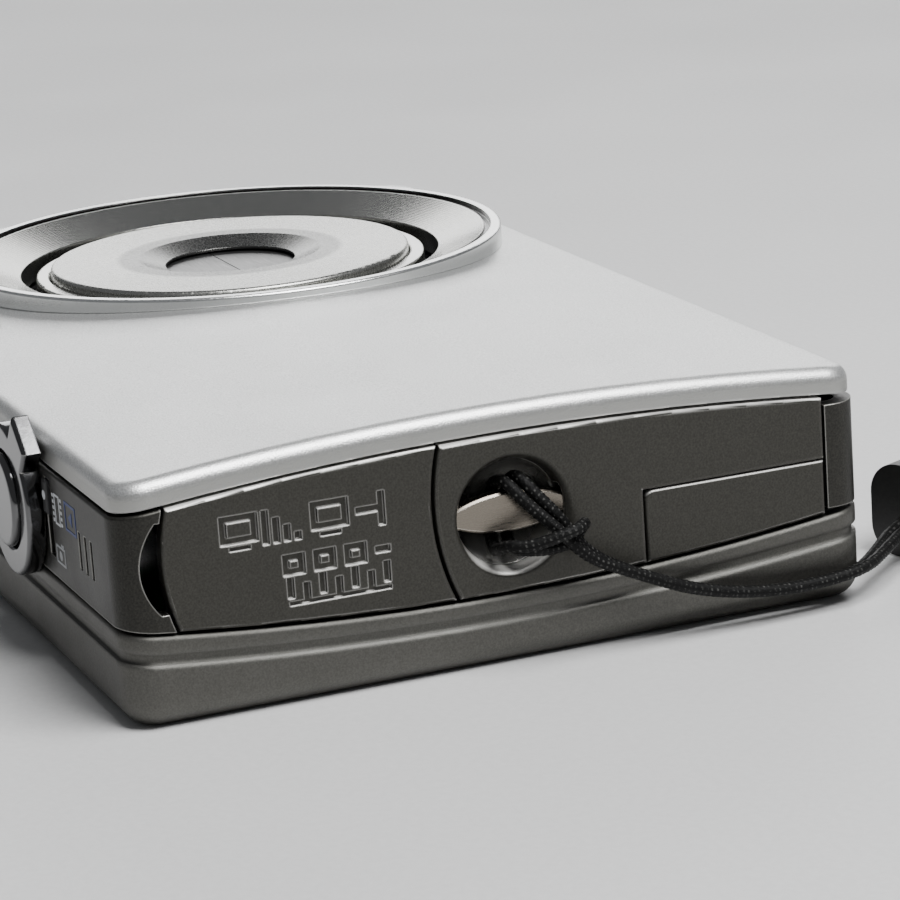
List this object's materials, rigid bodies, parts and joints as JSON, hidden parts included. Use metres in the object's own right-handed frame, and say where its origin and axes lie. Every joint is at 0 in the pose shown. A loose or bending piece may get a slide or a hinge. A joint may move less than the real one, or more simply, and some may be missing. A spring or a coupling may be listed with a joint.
{
  "type": "compact digital camera",
  "caption": "Slim pocket camera with a domed front shell, side band, telescoping lens with barrier blades, hinged socket cover, battery door, rear display and a thin wrist strap.",
  "frame": {"origin": "middle of the flat back, which is the face the camera lies on", "axes": "+Z out of the lens, +X from the strap end towards the lens end, +Y towards the shutter side"},
  "size_m": [0.0895, 0.1578, 0.0191],
  "materials": {
    "silver_shell": "bead-blasted satin silver",
    "silver_back": "satin silver-grey",
    "grey_band": "dark grey metallic satin",
    "grey_rubber": "soft-touch grey",
    "steel": "plain",
    "polished_steel": "polished",
    "chrome": "bright",
    "lens_chrome": "turned satin",
    "black_plastic": "moulded matte",
    "blade": "satin dark",
    "coated_glass": "coated",
    "sensor": "glossy",
    "board": "solder mask",
    "clear_window": "clear",
    "key": "satin",
    "display_glass": "glossy black",
    "battery_grey": "plain",
    "brass": "plain",
    "card_blue": "moulded",
    "black_cord": "braided",
    "black_rubber": "moulded matte"
  },
  "bodies": {
    "root": {"front_shell": "silver_shell", "back_shell": "silver_back", "side_band": "grey_band", "strap_end_panel": "grey_band", "battery_door_pin": "steel", "strap_cup": "polished_steel", "strap_bar": "polished_steel", "lens_ring": "lens_chrome", "lens_base": "black_plastic", "image_sensor": "sensor", "sensor_board": "board", "zoom_drive": "steel", "flash_window": "clear_window", "flash_reflector": "polished_steel", "flash_tube": "clear_window", "flash_capacitor": "black_plastic", "focus_lamp_lens": "clear_window", "button_board": "board", "lcd_window": "display_glass", "lcd_module": "black_plastic", "chassis_plate": "steel", "main_board": "board", "battery_bay": "black_plastic", "battery": "battery_grey", "memory_card": "card_blue", "speaker": "steel", "tripod_socket": "brass", "jack_board": "board", "video_socket": "steel", "data_socket": "steel", "jack_bezel": "black_plastic", "case_screws": "steel", "strap_cord_front": "black_cord", "strap_cord_rear": "black_cord", "hand_loop_cord": "black_cord", "strap_connector": "black_rubber"},
    "terminal_cover": {"terminal_cover": "grey_band"},
    "dc_cable_flap": {"dc_cable_flap": "grey_rubber"},
    "battery_door": {"battery_door": "grey_band"},
    "zoom_lever": {"zoom_lever": "chrome"},
    "shutter_button": {"shutter_button": "chrome"},
    "power_button": {"power_button": "grey_band"},
    "mode_switch": {"mode_switch": "black_plastic"},
    "cam_ring": {"cam_ring": "black_plastic"},
    "outer_barrel": {"outer_barrel": "lens_chrome"},
    "inner_barrel": {"inner_barrel": "lens_chrome", "barrier_cover": "lens_chrome", "barrier_base": "black_plastic", "front_lens": "coated_glass", "front_lens_cell": "black_plastic", "shutter_unit": "black_plastic", "rear_lens": "coated_glass", "rear_lens_cell": "black_plastic"},
    "barrier_blade_upper": {"barrier_blade_upper": "blade"},
    "barrier_blade_lower": {"barrier_blade_lower": "blade"},
    "playback_button": {"playback_button": "key"},
    "menu_button": {"menu_button": "key"},
    "display_button": {"display_button": "key"},
    "navigation_pad": {"navigation_pad": "key"},
    "set_button": {"set_button": "key"}
  },
  "joints": [
    {"name": "terminal_cover_open", "type": "hinge", "parent": "root", "child": "terminal_cover", "pos_m": [-0.04352, 0.0038, 0.0105], "axis": [0, 0, 1], "range_deg": [0, 95]},
    {"name": "dc_cable_flap_open", "type": "hinge", "parent": "root", "child": "dc_cable_flap", "pos_m": [-0.04352, -0.02428, 0.008], "axis": [0, 0, 1], "range_deg": [0, 80]},
    {"name": "battery_door_open", "type": "hinge", "parent": "root", "child": "battery_door", "pos_m": [-0.0039, -0.0269, 0.0108], "axis": [0, 0, 1], "range_deg": [0, 95]},
    {"name": "zoom_lever_turn", "type": "hinge", "parent": "root", "child": "zoom_lever", "pos_m": [-0.0209, 0.0282, 0.0113], "axis": [0, 1, 0], "range_deg": [-8, 8], "stiffness_Nm_per_rad": 0.004},
    {"name": "shutter_button_press", "type": "slide", "parent": "root", "child": "shutter_button", "axis": [0, -1, 0], "range_m": [0, 0.0003], "stiffness_N_per_m": 300},
    {"name": "power_button_press", "type": "slide", "parent": "root", "child": "power_button", "axis": [0, -1, 0], "range_m": [0, 0.0003], "stiffness_N_per_m": 300},
    {"name": "mode_switch_slide", "type": "slide", "parent": "root", "child": "mode_switch", "axis": [0, 0, -1], "range_m": [0, 0.003]},
    {"name": "lens_extend", "type": "slide", "parent": "root", "child": "outer_barrel", "axis": [0, 0, 1], "range_m": [0, 0.0085]},
    {"name": "cam_ring_turn", "type": "hinge", "parent": "root", "child": "cam_ring", "pos_m": [0.0198, -0.00215, 0.01], "axis": [0, 0, 1], "range_deg": [0, 110]},
    {"name": "inner_barrel_extend", "type": "slide", "parent": "outer_barrel", "child": "inner_barrel", "axis": [0, 0, 1], "range_m": [0, 0.0085]},
    {"name": "barrier_upper_swing", "type": "hinge", "parent": "inner_barrel", "child": "barrier_blade_upper", "pos_m": [0.0088, -0.00215, 0.0165], "axis": [0, 0, 1], "range_deg": [0, 31]},
    {"name": "barrier_lower_swing", "type": "hinge", "parent": "inner_barrel", "child": "barrier_blade_lower", "pos_m": [0.0308, -0.00215, 0.0165], "axis": [0, 0, 1], "range_deg": [0, 31]},
    {"name": "playback_button_press", "type": "slide", "parent": "root", "child": "playback_button", "axis": [0, 0, 1], "range_m": [0, 0.0003], "stiffness_N_per_m": 250},
    {"name": "menu_button_press", "type": "slide", "parent": "root", "child": "menu_button", "axis": [0, 0, 1], "range_m": [0, 0.0003], "stiffness_N_per_m": 250},
    {"name": "display_button_press", "type": "slide", "parent": "root", "child": "display_button", "axis": [0, 0, 1], "range_m": [0, 0.0003], "stiffness_N_per_m": 250},
    {"name": "navigation_pad_press", "type": "slide", "parent": "root", "child": "navigation_pad", "axis": [0, 0, 1], "range_m": [0, 0.0003], "stiffness_N_per_m": 250},
    {"name": "set_button_press", "type": "slide", "parent": "root", "child": "set_button", "axis": [0, 0, 1], "range_m": [0, 0.0003], "stiffness_N_per_m": 250}
  ],
  "couplings": [
    {"joint": "cam_ring_turn", "follows": "lens_extend", "rad_per_m": 220},
    {"joint": "inner_barrel_extend", "follows": "lens_extend", "ratio": 0.95},
    {"joint": "barrier_upper_swing", "follows": "lens_extend", "rad_per_m": 62},
    {"joint": "barrier_lower_swing", "follows": "lens_extend", "rad_per_m": 62}
  ]
}
